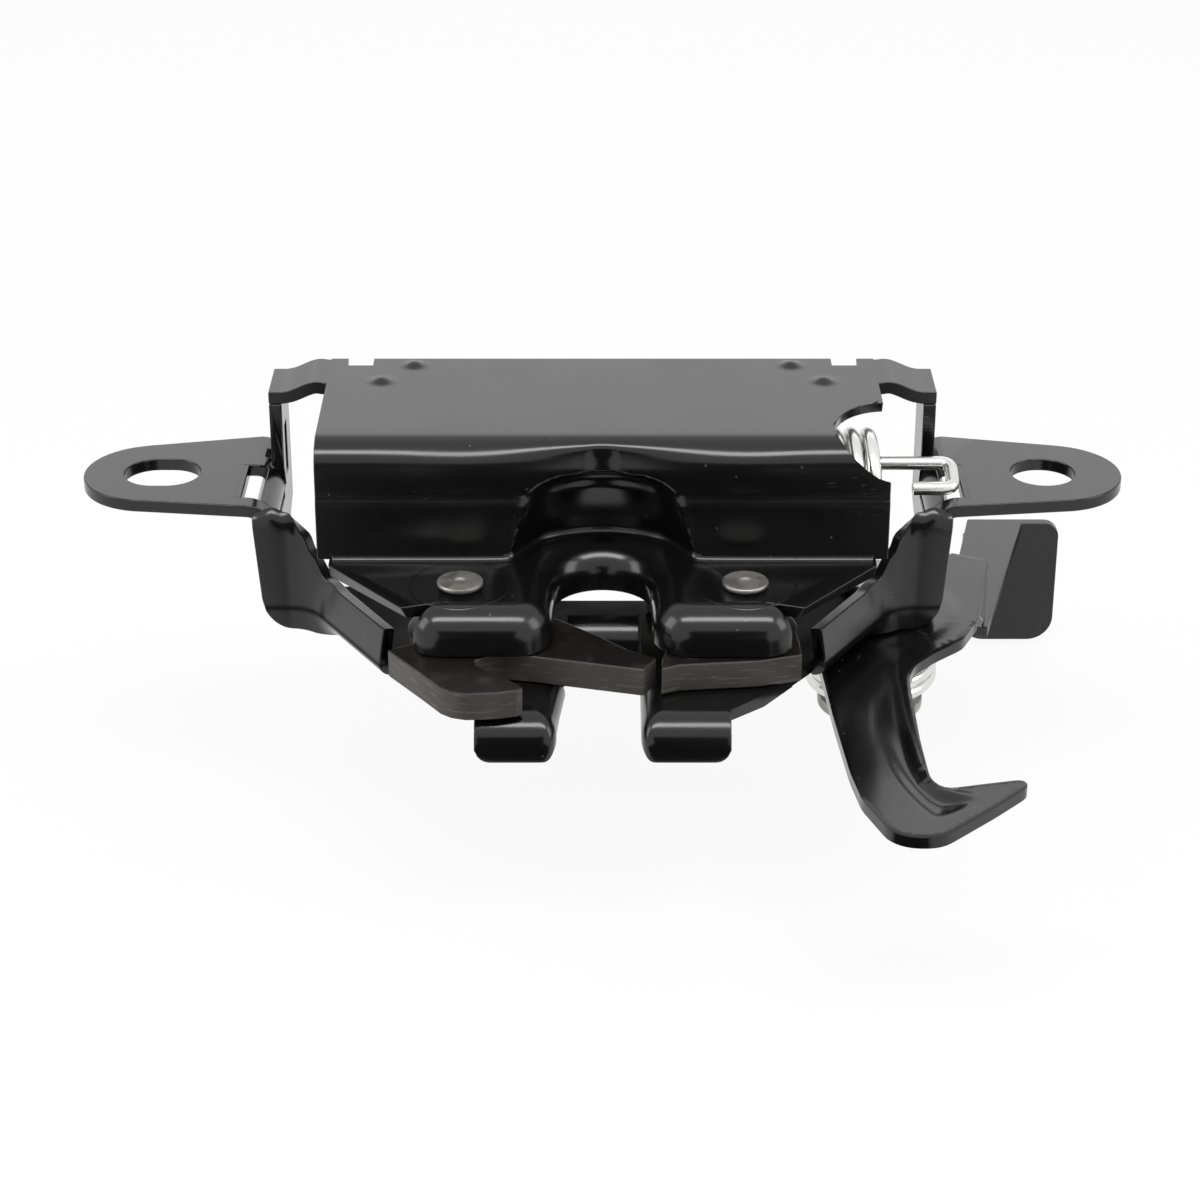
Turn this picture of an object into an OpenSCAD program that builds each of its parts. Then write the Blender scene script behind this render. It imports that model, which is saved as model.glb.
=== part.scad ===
// Bonnet latch: folded steel bracket and cover, claw and pawl on two rivets,
// a spring that lifts the bonnet and a safety lever with a hook and a finger paddle.
// X runs along the bracket, -Y is the side the striker comes from, Z is up along the rivets.
// The origin lies midway between the two mounting holes, on the top face of the ears.

/* [Sheet] */
// Thickness of the folded bracket, cover and lever sheet
sheet = 1.8; // [1.4:0.1:2.2]
// Outside radius of the rolled edges around the striker slot and on the prongs
roll_r = 4; // [3.4:0.1:4.4]

/* [Mounting ears] */
// Distance between the centres of the two mounting holes
mount_spacing = 123.8; // [120:0.2:130]
// Diameter of the round hole in the right ear
hole_d = 9; // [6.5:0.1:10]
// Extra length of the slotted hole in the left ear
hole_stretch = 1.7; // [1:0.1:4]
// Radius of the round end of an ear
ear_r = 9.7; // [8.5:0.1:11]
// Depth of an ear where it leaves the side wall
ear_root = 24; // [22:0.5:26]

/* [Cover] */
// Width of the cover across its top
cover_w = 77.4; // [74:0.2:80]
// Height of the cover top above the ears
cover_z = 12; // [11:0.1:13]
// Outside radius of the bend along the cover's front
cover_bend = 5; // [3.5:0.1:6]
// Height of the rivet plate below the ears
plate_drop = 4.5; // [4:0.1:5]
// Half width of the striker slot between its rolled edges
slot_half = 6.6; // [6:0.1:7.2]

/* [Claw and pawl] */
// Thickness of the claw and of the pawl
claw_t = 4; // [3:0.1:4.4]
// Distance between the two rivets
rivet_pitch = 38; // [37.6:0.1:38.6]
// Diameter of the rivet shoulder that the claw and the pawl turn on
shoulder_d = 8; // [7:0.1:9]
// Diameter of the flat rivet heads on the rivet plate
head_d = 6.2; // [5.5:0.1:7.5]
// Gap between a shoulder and the bore that turns on it, on the radius
run_gap = 0.06; // [0.04:0.01:0.1]
// Gap between the faces of neighbouring plates
face_gap = 0.2; // [0.15:0.01:0.3]

/* [Safety lever] */
// Reach of the hook in front of the lever pivot
hook_reach = 63; // [58:0.5:68]
// Height that the paddle hangs below its strip
paddle_h = 20.6; // [16:0.2:24]
// Width of the paddle
paddle_w = 15; // [13:0.2:18]

/* [Springs] */
// Wire diameter of the lift spring and of the lever spring
wire_d = 2; // [1.7:0.05:2.1]
// Outside diameter of the lever spring
lever_coil_d = 18.8; // [17:0.1:19.4]
// Outside diameter of the lift spring
lift_coil_d = 15.4; // [14:0.1:15.8]

/* [Hidden] */
$fn = 48;
eps = 0.01;
black = [0.06, 0.06, 0.065];
phosphate = [0.2, 0.18, 0.16];
zinc = [0.75, 0.75, 0.72];
bare = [0.5, 0.5, 0.5];

// Heights of the stack of plates, top faces unless named otherwise
plate_z = -plate_drop;
lip_drop = 2;
lip_bottom = plate_z - roll_r - lip_drop;
claw_z = lip_bottom - face_gap;
base_z = claw_z - claw_t - face_gap;
base_bottom = base_z - sheet;
panel_bottom = base_bottom - 1.6;
lever_z = panel_bottom - face_gap;
lever_bottom = lever_z - sheet;

// Plan positions
hole_x = mount_spacing / 2;
wall_x = 45.1;
rivet_x = rivet_pitch / 2;
rivet_y = -27;
slot_y = -23.1;
slot_flat = slot_half + roll_r;
wall_y = -19.3;
cover_back = 13;
lip_flat_y = -32.4;
lip_x0 = slot_flat + 1.5;
lip_x1 = 22.3;
bridge_y = -14.6;
lever_x = 38.4;
lever_y = -5.5;
shoulder_r = shoulder_d / 2;
bore_r = shoulder_r + run_gap;

// A rolled edge: a quarter ring that turns down, then a short straight drop
module rolled_edge(drop) {
    translate([0, -roll_r])
        intersection() {
            difference() {
                circle(r = roll_r);
                circle(r = roll_r - sheet);
            }
            square([roll_r, roll_r]);
        }
    translate([roll_r - sheet, -roll_r - drop])
        square([sheet, drop]);
    translate([-0.3, -sheet])
        square([0.3, sheet]);
}

// The rolled edge laid along X, with its face to the front
module front_roll(x0, x1, y, z, drop) {
    translate([x1, y, z])
        rotate([90, 0, -90])
            linear_extrude(x1 - x0)
                rolled_edge(drop);
}

// One ear with its bend, drawn for the right side
module ear() {
    translate([0, 0, -sheet])
        linear_extrude(sheet) {
            translate([hole_x + 1.3, 0])
                circle(r = ear_r);
            polygon([
                [wall_x + 4, -ear_root / 2 + 0.5],
                [wall_x + 4, ear_root / 2 + 0.9],
                [hole_x + 3, ear_r - 0.1],
                [hole_x + 3, -ear_r + 0.1]
            ]);
        }
    translate([wall_x + 4, ear_root / 2 + 0.9, -4])
        rotate([90, 0, 0])
            linear_extrude(ear_root + 0.4)
                intersection() {
                    difference() {
                        circle(r = 4);
                        circle(r = 4 - sheet);
                    }
                    translate([-5, 0])
                        square([5, 5]);
                }
}

// The side wall under an ear with the post that carries the cover's tab
module side_wall() {
    translate([wall_x, 0, 0])
        rotate([90, 0, 90])
            linear_extrude(sheet)
                polygon([
                    [-13, panel_bottom + 3],
                    [-13, -4],
                    [3.6, -4],
                    [3.6, cover_z - 3.3],
                    [ear_root / 2 + 0.9, cover_z - 3.3],
                    [ear_root / 2 + 0.9, -9],
                    [-6, base_bottom]
                ]);
}

// The panel that closes the front of a side wall, with a round lower corner
module front_panel() {
    corner = 5.5;
    translate([0, -13 + sheet, 0])
        rotate([90, 0, 0])
            linear_extrude(sheet) {
                polygon([
                    [wall_x, -0.6],
                    [wall_x + 3.2, -2.4],
                    [wall_x + 3.2, panel_bottom + corner],
                    [wall_x + 3.2 - corner, panel_bottom],
                    [36.6, panel_bottom],
                    [36.6, base_bottom + 7],
                    [39, -8]
                ]);
                translate([wall_x + 3.2 - corner, panel_bottom + corner])
                    circle(r = corner);
            }
}

// The strip turned up along a diagonal edge of the lower plate
module diagonal_strip() {
    run = 16.2;
    translate([36.8, -15.6, base_bottom])
        rotate([0, 0, -121.5])
            cube([run, sheet, 7]);
    translate([35.4, -16.4, base_bottom])
        cube([3, 4.6, 7]);
}

// Half of the lower plate, drawn for the right side
module lower_half(back) {
    linear_extrude(sheet)
        polygon([
            [0, bridge_y],
            [5, bridge_y],
            [5, -33],
            [5.5, -42.4],
            [16.4, -42.4],
            [21.2, -38.6],
            [28.2, -29],
            [35.6, -16.2],
            [38, -12],
            [wall_x + sheet, -12],
            [wall_x + sheet, back],
            [32, back],
            [22, -6.5],
            [12, bridge_y + 4.1],
            [0, bridge_y + 4.1]
        ]);
}

// A prong's rolled tip with rounded lower corners
module prong_tip() {
    tip_drop = 2.2;
    intersection() {
        front_roll(5.5, 16.4, -42.3, base_z, tip_drop);
        translate([0, -41, 0])
            rotate([90, 0, 0])
                linear_extrude(8) {
                    translate([5.5, base_z - roll_r - tip_drop + 2.6])
                        square([10.9, 12]);
                    translate([8.1, base_z - roll_r - tip_drop])
                        square([5.7, 12]);
                    translate([8.1, base_z - roll_r - tip_drop + 2.6])
                        circle(r = 2.6);
                    translate([13.8, base_z - roll_r - tip_drop + 2.6])
                        circle(r = 2.6);
                }
    }
}

module base_bracket() {
    color(black)
        difference() {
            union() {
                for (side = [0, 1])
                    mirror([side, 0, 0]) {
                        ear();
                        side_wall();
                        front_panel();
                        diagonal_strip();
                        translate([0, 0, base_bottom])
                            lower_half(side == 0 ? 2 : -6);
                        prong_tip();
                    }
                // Edge at the back of the slot, rolled down from the bridge
                front_roll(-5.2, 5.2, bridge_y, base_z, 0.8);
            }
            // Round hole in the right ear
            translate([hole_x, 0, -sheet - 1])
                cylinder(h = sheet + 2, d = hole_d);
            // Slotted hole in the left ear
            translate([-hole_x, 0, -sheet - 1])
                for (s = [-1, 1])
                    translate([s * hole_stretch / 2, 0, 0])
                        cylinder(h = sheet + 2, d = hole_d);
            translate([-hole_x - hole_stretch / 2, -hole_d / 2, -sheet - 1])
                cube([hole_stretch, hole_d, sheet + 2]);
            // Notches across the bends of the ears
            for (side = [0, 1])
                mirror([side, 0, 0])
                    translate([wall_x - 1, -8.5, -5])
                        cube([6.5, 11, 8]);
            // Slit in the left side wall
            translate([-wall_x - sheet - 1, 6, -3])
                cube([sheet + 2, 2.6, 7.5]);
            // Rivet holes
            for (s = [-1, 1])
                translate([s * rivet_x, rivet_y, base_bottom - 1])
                    cylinder(h = sheet + 2, d = 6);
            translate([lever_x, lever_y, base_bottom - 1])
                cylinder(h = sheet + 2, d = 6);
        }
}

// The half-round dent above the striker slot: a steep cone with a flatter roof
dent_low_r = 13.7;
dent_mid_r = 10.4;
dent_top_r = 2;
module dent(grow) {
    translate([0, slot_y, plate_z])
        rotate_extrude()
            polygon([
                [0, -3],
                [dent_low_r + grow, -3],
                [dent_mid_r + grow * 0.83, 8 + grow * 0.63],
                [dent_top_r + grow * 0.57, 13.9 + grow * 0.82],
                [0, 13.9 + grow * 0.82]
            ]);
}

// Outline of the rivet plate with the flat edge of the striker slot cut out
module rivet_plate_2d() {
    back_w = cover_w / 2 - 1.6;
    difference() {
        union() {
            polygon([
                [-back_w, wall_y + sheet],
                [back_w, wall_y + sheet],
                [back_w, wall_y - 1.6],
                [27.4, lip_flat_y - 0.4],
                [lip_x1 + 0.2, lip_flat_y + 0.2],
                [lip_x1, lip_flat_y],
                [-lip_x1, lip_flat_y],
                [-lip_x1 - 0.2, lip_flat_y + 0.2],
                [-27.4, lip_flat_y - 0.4],
                [-back_w, wall_y - 1.6]
            ]);
            intersection() {
                translate([0, slot_y])
                    circle(r = dent_low_r + 0.2);
                translate([-20, wall_y])
                    square([40, 20]);
            }
        }
        translate([0, slot_y])
            circle(r = slot_flat - 0.2);
        translate([-slot_flat + 0.2, lip_flat_y - 5])
            square([2 * slot_flat - 0.4, slot_y - lip_flat_y + 5]);
        for (s = [-1, 1])
            translate([s * lip_x0, lip_flat_y + 1.5])
                difference() {
                    translate([s > 0 ? -2 : 0, -2])
                        square([2, 2]);
                    circle(r = 1.5);
                }
    }
}

// A joggled tab that runs from the cover's back corner down onto a post
module cover_tab() {
    translate([0, 12.6, 0])
        rotate([90, 0, 0])
            linear_extrude(9)
                polygon([
                    [cover_w / 2 - 3, cover_z],
                    [cover_w / 2 + 0.6, cover_z + 0.4],
                    [43, cover_z - 1.4],
                    [wall_x + sheet, cover_z - 1.5],
                    [wall_x + sheet, cover_z - 3.3],
                    [42.6, cover_z - 3.2],
                    [cover_w / 2 + 0.2, cover_z - 1.5],
                    [cover_w / 2 - 3, cover_z - sheet]
                ]);
}

// A low round dimple that stands on the cover's top
module dimple() {
    intersection() {
        translate([0, 0, -5.6])
            rotate([90, 0, 0])
                sphere(r = 6);
        translate([0, 0, -0.5])
            cylinder(h = 2, r = 3);
    }
}

// Section through the cover's top, its front bend and its front wall
module cover_section() {
    translate([wall_y + cover_bend, cover_z - sheet])
        square([cover_back - wall_y - cover_bend, sheet]);
    translate([wall_y + cover_bend, cover_z - cover_bend])
        intersection() {
            difference() {
                circle(r = cover_bend);
                circle(r = cover_bend - sheet);
            }
            translate([-cover_bend, 0])
                square([cover_bend, cover_bend]);
        }
    translate([wall_y, plate_z - sheet])
        square([sheet, cover_z - cover_bend - plate_z + sheet]);
}

module cover() {
    color(black) {
        difference() {
            union() {
                // Flat top, bend along the front and front wall
                translate([-cover_w / 2, 0, 0])
                    rotate([90, 0, 90])
                        linear_extrude(cover_w)
                            cover_section();
                for (side = [0, 1])
                    mirror([side, 0, 0])
                        cover_tab();
            }
            // Room for the dent
            dent(0);
            // Half-round cut-out over the lift spring
            translate([cover_w / 2 + 0.6, -12.2, 11])
                rotate([32, 0, 0])
                    translate([0, 0, -6])
                        cylinder(h = 16, r = 7.8);
            // Square notches beside the tabs
            for (s = [-1, 1])
                translate([s * 34.4 - 1.8, cover_back - 2.6, cover_z - 4])
                    cube([3.6, 4, 8]);
        }
        // Pressed dimples near the back corners of the top
        for (s = [-1, 1])
            for (spot = [[26.7, 10.4], [31, 4.4]])
                translate([s * spot[0], spot[1], cover_z])
                    dimple();
        // Shell of the dent
        intersection() {
            difference() {
                dent(sheet);
                dent(0);
            }
            translate([-20, wall_y + sheet / 2, plate_z - sheet])
                cube([40, 14, 18]);
        }
        // Rivet plate
        difference() {
            translate([0, 0, plate_z - sheet])
                linear_extrude(sheet)
                    rivet_plate_2d();
            for (s = [-1, 1])
                translate([s * rivet_x, rivet_y, plate_z - sheet - 1])
                    cylinder(h = sheet + 2, d = 5);
        }
        // Rolled edge around the striker slot
        translate([0, slot_y, plate_z])
            rotate_extrude(angle = 180)
                translate([slot_flat, 0])
                    mirror([1, 0])
                        rolled_edge(lip_drop);
        for (side = [0, 1])
            mirror([side, 0, 0]) {
                translate([slot_flat, slot_y, plate_z])
                    rotate([90, 0, 0])
                        linear_extrude(slot_y - lip_flat_y - 1.5)
                            mirror([1, 0])
                                rolled_edge(lip_drop);
                translate([lip_x0, lip_flat_y + 1.5, plate_z])
                    rotate([0, 0, 180])
                        rotate_extrude(angle = 90)
                            translate([1.5, 0])
                                rolled_edge(lip_drop);
                front_roll(lip_x0, lip_x1, lip_flat_y, plate_z, lip_drop);
                // Outer end of the lip, turned back towards the side
                translate([lip_x1, lip_flat_y + 0.3, plate_z])
                    rotate([0, 0, -90])
                        rotate_extrude(angle = 60)
                            translate([0.3, 0])
                                rolled_edge(lip_drop);
            }
    }
}

module claw() {
    color(phosphate)
        translate([-rivet_x, rivet_y, claw_z - claw_t])
            difference() {
                linear_extrude(claw_t) {
                    circle(r = 7.2);
                    // Retaining finger in front of the pivot
                    polygon([
                        [-5.6, -4.5],
                        [-9.5, -6.8],
                        [-4.8, -13.4],
                        [-2, -17.5],
                        [-0.6, -18.6],
                        [1.3, -19.2],
                        [5.2, -18.9],
                        [8, -18.2],
                        [8.7, -17.4],
                        [8.3, -16.5],
                        [7.3, -15.6],
                        [4.9, -13.6],
                        [2.6, -11.2],
                        [2.2, -9.9],
                        [3, -9],
                        [6, -8],
                        [4, -2]
                    ]);
                    // Centre finger that the striker pushes back
                    polygon([
                        [2, -6.9],
                        [6, -8],
                        [10.2, -8.8],
                        [24.4, -12.5],
                        [26.1, -9.1],
                        [22.4, -6.7],
                        [18.7, -2.8],
                        [13.5, 1.9],
                        [8.5, 5.2],
                        [3, 6.5],
                        [0, 4]
                    ]);
                }
                translate([0, 0, -1])
                    cylinder(h = claw_t + 2, r = bore_r);
            }
}

module pawl() {
    color(phosphate)
        translate([rivet_x, rivet_y, claw_z - claw_t])
            difference() {
                linear_extrude(claw_t) {
                    circle(r = 7.2);
                    // Nose in front, tooth behind the claw's finger, release tail to the rear
                    polygon([
                        [-9.7, 0],
                        [-10.1, -5],
                        [-11.2, -9.2],
                        [-11.3, -12.2],
                        [-8.9, -11.1],
                        [1.6, -10],
                        [7.3, -8.2],
                        [7.2, -4],
                        [6.4, 3],
                        [8.2, 22],
                        [8.2, 29],
                        [0.2, 29],
                        [0, 22],
                        [-1, 14],
                        [-8.9, 15.8],
                        [-13.1, 13.1],
                        [-11.3, 9.7],
                        [-10, 5]
                    ]);
                    translate([4.2, 29])
                        circle(r = 4.4);
                }
                translate([0, 0, -1])
                    cylinder(h = claw_t + 2, r = bore_r);
                // Eye for the release cable
                translate([4.2, 29, -1])
                    cylinder(h = claw_t + 2, d = 4);
            }
}

// Outline of the lever's upper plate, seen from above, with the pivot at the origin
module lever_plate_2d() {
    circle(r = 13.3);
    // Arm and hook
    polygon([
        [-9.4, -4],
        [-8.6, -18.5],
        [-7.9, -hook_reach + 31],
        [-6.8, -hook_reach + 16.5],
        [-5.8, -hook_reach + 9.4],
        [-3.1, -hook_reach + 2],
        [-1.4, -hook_reach + 0.5],
        [0.6, -hook_reach],
        [2.6, -hook_reach + 0.1],
        [4.2, -hook_reach + 0.8],
        [11, -hook_reach + 7.6],
        [15.4, -hook_reach + 12.4],
        [15.6, -hook_reach + 13.6],
        [15, -hook_reach + 14.6],
        [9.4, -hook_reach + 13.3],
        [5.6, -hook_reach + 12.4],
        [4.2, -hook_reach + 12.7],
        [3.3, -hook_reach + 14.6],
        [3, -hook_reach + 25],
        [3.1, -hook_reach + 38],
        [3.2, -20.6],
        [4.4, -17],
        [7.6, -12],
        [9, -4]
    ]);
    // Plate that runs back to the wall
    polygon([
        [4, -11],
        [10, -8.6],
        [13.4, -4],
        [17.6, 16.4],
        [13.2, 18.8],
        [4, 12]
    ]);
}

module safety_lever() {
    wall_h = 10;
    color(black)
        translate([lever_x, lever_y, 0]) {
            difference() {
                translate([0, 0, lever_bottom])
                    linear_extrude(sheet)
                        lever_plate_2d();
                translate([0, 0, lever_bottom - 1])
                    cylinder(h = sheet + 2, r = bore_r);
            }
            // Wall that drops to the lower strip
            translate([0, 0, lever_bottom - wall_h + sheet])
                linear_extrude(wall_h - sheet + eps)
                    polygon([
                        [12.6, -4],
                        [14.2, -4],
                        [18.2, 16.2],
                        [16.4, 17.1]
                    ]);
            // Lower strip that runs to the paddle
            translate([0, 0, lever_bottom - wall_h])
                linear_extrude(sheet)
                    polygon([
                        [11.6, -4],
                        [14.2, -4],
                        [18.8, 15.4],
                        [28.4, 51.6],
                        [19.5, 51.6],
                        [13, 20]
                    ]);
            // Paddle that hangs down from the strip
            translate([18.9, 51.6, lever_bottom - wall_h + sheet])
                rotate([90, 0, 0])
                    linear_extrude(sheet) {
                        translate([0, -paddle_h + 4])
                            square([paddle_w, paddle_h - 6.4]);
                        translate([4, -paddle_h])
                            square([paddle_w - 8, paddle_h - 1]);
                        translate([0.6, -4])
                            square([paddle_w - 3, 4]);
                        for (x = [4, paddle_w - 4])
                            translate([x, -paddle_h + 4])
                                circle(r = 4);
                        translate([paddle_w - 2.4, -2.4])
                            circle(r = 2.4);
                    }
        }
}

// A shouldered rivet between the rivet plate and the lower plate
module plate_rivet() {
    translate([0, 0, plate_z])
        cylinder(h = 0.7, d = head_d);
    translate([0, 0, base_z])
        cylinder(h = plate_z - sheet - base_z, r = shoulder_r);
    translate([0, 0, plate_z - sheet - eps])
        cylinder(h = sheet + 2 * eps, d = 5);
    translate([0, 0, base_bottom - eps])
        cylinder(h = sheet + 2 * eps, d = 6);
    translate([0, 0, base_bottom - 1.4])
        cylinder(h = 1.4, d = 9);
}

module claw_rivet() {
    color(bare)
        translate([-rivet_x, rivet_y, 0])
            plate_rivet();
}

module pawl_rivet() {
    color(bare)
        translate([rivet_x, rivet_y, 0])
            plate_rivet();
}

lever_stack = 11.6;
module lever_rivet() {
    color(bare)
        translate([lever_x, lever_y, 0]) {
            translate([0, 0, base_z])
                cylinder(h = 1.6, d = 10);
            translate([0, 0, base_bottom - eps])
                cylinder(h = sheet + 2 * eps, d = 6);
            translate([0, 0, lever_bottom - face_gap - lever_stack - eps])
                cylinder(h = base_bottom - lever_bottom + face_gap + lever_stack + eps, r = shoulder_r);
            translate([0, 0, lever_bottom - face_gap - lever_stack - 1.6])
                cylinder(h = 1.6, d = 15);
        }
}

// Sleeve inside the lever spring
module lever_bush() {
    color(zinc)
        translate([lever_x, lever_y, lever_bottom - face_gap - lever_stack])
            difference() {
                cylinder(h = lever_stack, d = 12.6);
                translate([0, 0, -1])
                    cylinder(h = lever_stack + 2, r = shoulder_r);
            }
}

// A close-wound coil drawn as touching turns
module coil(turns, outer, wire) {
    for (i = [0 : turns - 1])
        translate([0, 0, (i + 0.5) * wire * 0.98])
            rotate_extrude()
                translate([outer / 2 - wire / 2, 0])
                    circle(d = wire);
}

module lift_spring() {
    turns = 8;
    axis_y = -8.6;
    axis_z = cover_z - sheet - 0.3 - lift_coil_d / 2;
    mid_r = lift_coil_d / 2 - wire_d / 2;
    coil_end = cover_w / 2 - 0.6;
    coil_start = coil_end - turns * wire_d * 0.98;
    leg_y = axis_y + mid_r;
    leg_x = wall_x + 3.5;
    hook_y = -7.2;
    hook_z = 0.7;
    hook_run = sqrt(pow(leg_y - hook_y, 2) + pow(axis_z - hook_z, 2));
    arm_y = axis_y + mid_r * cos(70);
    arm_z = axis_z - mid_r * sin(70);
    color(zinc) {
        translate([coil_start, axis_y, axis_z])
            rotate([0, 90, 0])
                coil(turns, lift_coil_d, wire_d);
        // Leg that runs out and hooks into the notch of the right ear
        translate([coil_end - wire_d / 2, leg_y, axis_z])
            rotate([0, 90, 0])
                cylinder(h = leg_x - coil_end + wire_d / 2, d = wire_d * 0.96);
        translate([leg_x, leg_y, axis_z])
            sphere(d = wire_d);
        translate([leg_x, leg_y, axis_z])
            rotate([90 + atan2(axis_z - hook_z, leg_y - hook_y), 0, 0])
                cylinder(h = hook_run, d = wire_d * 0.94);
        translate([leg_x, hook_y, hook_z])
            sphere(d = wire_d);
        translate([leg_x - 5.6, hook_y, hook_z])
            rotate([0, 90, 0])
                cylinder(h = 5.6, d = wire_d * 0.96);
        // Arm that reaches the back of the striker slot
        translate([1, arm_y, arm_z])
            rotate([0, 90, 0])
                cylinder(h = coil_start - 1 + wire_d / 2, d = wire_d * 0.96);
        translate([1, arm_y, arm_z])
            sphere(d = wire_d);
        translate([1, arm_y, -8.4])
            cylinder(h = arm_z + 8.4, d = wire_d * 0.94);
        translate([1, arm_y, -8.4])
            sphere(d = wire_d);
        translate([1, arm_y, -8.4])
            rotate([90, 0, 0])
                cylinder(h = arm_y + 13.4, d = wire_d * 0.96);
    }
}

// A light return spring on a rivet shoulder, above the plate that it turns
module return_spring(leg_angle) {
    wire = 1.4;
    low = claw_z + face_gap;
    translate([0, 0, low])
        coil(2, shoulder_d + 0.6 + 2 * wire, wire);
    translate([0, 0, low + wire * 1.47])
        rotate([0, 0, leg_angle])
            translate([shoulder_r + 0.3 + wire / 2, 0, 0])
                rotate([-90, 0, 0])
                    cylinder(h = 7, d = wire, $fn = 20);
}

module claw_spring() {
    color(zinc)
        translate([-rivet_x, rivet_y, 0])
            return_spring(0);
}

module pawl_spring() {
    color(zinc)
        translate([rivet_x, rivet_y, 0])
            return_spring(40);
}

module lever_spring() {
    color(zinc)
        translate([lever_x, lever_y, lever_bottom - face_gap - 5 * wire_d * 0.98 - 0.3]) {
            coil(5, lever_coil_d, wire_d);
            // Tail of the last turn
            rotate([0, 0, 120])
                translate([lever_coil_d / 2 - wire_d / 2, 0, wire_d * 0.49])
                    rotate([0, 90, 0])
                        cylinder(h = 7, d = wire_d * 0.9);
        }
}

base_bracket();
cover();
claw();
pawl();
safety_lever();
claw_rivet();
pawl_rivet();
lever_rivet();
lever_bush();
lift_spring();
claw_spring();
pawl_spring();
lever_spring();
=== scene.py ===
import math

import bmesh
import bpy
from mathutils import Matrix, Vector
from mathutils.geometry import delaunay_2d_cdt
from mathutils.kdtree import KDTree


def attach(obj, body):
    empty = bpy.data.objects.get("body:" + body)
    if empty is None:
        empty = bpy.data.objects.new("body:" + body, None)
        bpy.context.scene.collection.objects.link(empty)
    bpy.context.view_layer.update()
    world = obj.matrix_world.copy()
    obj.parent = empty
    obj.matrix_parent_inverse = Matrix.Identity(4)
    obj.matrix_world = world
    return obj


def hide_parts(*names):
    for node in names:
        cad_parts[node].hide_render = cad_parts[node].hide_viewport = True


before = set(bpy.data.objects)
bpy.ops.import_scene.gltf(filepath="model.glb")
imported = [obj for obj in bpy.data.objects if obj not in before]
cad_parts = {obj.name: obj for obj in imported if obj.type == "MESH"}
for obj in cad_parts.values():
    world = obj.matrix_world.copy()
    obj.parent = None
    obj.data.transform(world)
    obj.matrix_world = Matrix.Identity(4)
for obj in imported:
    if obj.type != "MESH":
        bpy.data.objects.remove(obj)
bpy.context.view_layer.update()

# The studio is a pale floor well below the latch, a white surround and soft lamps.
# The camera looks down at the side that the striker comes from.
mm = 0.001
camera_lens = bpy.data.cameras.new("camera")
camera_lens.sensor_width = 36
camera_lens.lens = 90
camera_lens.clip_start = 0.01
camera = bpy.data.objects.new("camera", camera_lens)
camera.location = (-0.35 * mm, -386.29 * mm, 170.83 * mm)
camera.rotation_euler = (math.radians(63.7), 0, 0)
bpy.context.collection.objects.link(camera)
bpy.context.scene.camera = camera
bpy.context.scene.view_settings.view_transform = "Standard"


class Sock:
    """A shader socket that takes part in plain arithmetic."""

    def __init__(self, tree, out=None):
        self.tree = tree
        self.out = out

    def make(self, kind, settings=None, sockets=None, out=0):
        """Add any node: its settings first, then the values or links of its sockets."""
        node = self.tree.nodes.new("ShaderNode" + kind)
        for key, value in (settings or {}).items():
            if key == "stops":
                elements = node.color_ramp.elements
                while len(elements) < len(value):
                    elements.new(0.5)
                for element, (place, tone) in zip(elements, value):
                    element.position = place
                    element.color = (tone, tone, tone, 1)
            else:
                setattr(node, key, value)
        for key, value in (sockets or {}).items():
            if isinstance(value, Sock):
                self.tree.links.new(value.out, node.inputs[key])
            else:
                node.inputs[key].default_value = value
        return Sock(self.tree, node.outputs[out] if node.outputs else None)

    def maths(self, operation, first, second):
        return self.make("Math", {"operation": operation}, {0: first, 1: second})

    def __add__(self, other):
        return self.maths("ADD", self, other)

    __radd__ = __add__

    def __sub__(self, other):
        return self.maths("SUBTRACT", self, other)

    def __rsub__(self, other):
        return self.maths("SUBTRACT", other, self)

    def __mul__(self, other):
        return self.maths("MULTIPLY", self, other)

    __rmul__ = __mul__


def shader_tree(owner):
    """An empty shader of a material or of the surround."""
    owner.use_nodes = True
    owner.node_tree.nodes.clear()
    return Sock(owner.node_tree)


def seen_directly(start):
    """1 for the rays that show the surround itself, 0 for the light that it sheds."""
    camera_ray, glossy_ray, through_ray = [
        start.make("LightPath", out=way)
        for way in ("Is Camera Ray", "Is Glossy Ray", "Is Transmission Ray")]
    return start.maths("MAXIMUM", camera_ray, start.maths("MAXIMUM", glossy_ray, through_ray))


white = (1, 1, 1, 1)
surround = bpy.data.worlds.new("surround")
sky = shader_tree(surround)
light_shed = sky.make("Background", {}, {"Color": white, "Strength": 0.5})
light_shown = sky.make("Background", {}, {"Color": white, "Strength": 1})
sky.make("OutputWorld", {}, {
    "Surface": sky.make("MixShader", {}, {0: seen_directly(sky), 1: light_shed, 2: light_shown})})
bpy.context.scene.world = surround

floor_drop = -50 * mm
floor_reach = 3
floor_sheet = bpy.data.meshes.new("floor")
floor_sheet.from_pydata(
    [(-floor_reach, -floor_reach, floor_drop), (floor_reach, -floor_reach, floor_drop),
     (floor_reach, floor_reach, floor_drop), (-floor_reach, floor_reach, floor_drop)],
    [], [(0, 1, 2, 3)])
floor = bpy.data.objects.new("floor", floor_sheet)
bpy.context.collection.objects.link(floor)
floor_paint = bpy.data.materials.new("floor_paint")
paint = shader_tree(floor_paint)
matt = paint.make("BsdfDiffuse", {}, {"Color": (0.8, 0.8, 0.8, 1)})
glow = paint.make("Emission", {}, {"Color": white, "Strength": 1})
paint.make("OutputMaterial", {}, {
    "Surface": paint.make("MixShader", {}, {0: seen_directly(paint) * 0.9, 1: matt, 2: glow})})
floor_sheet.materials.append(floor_paint)


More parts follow.
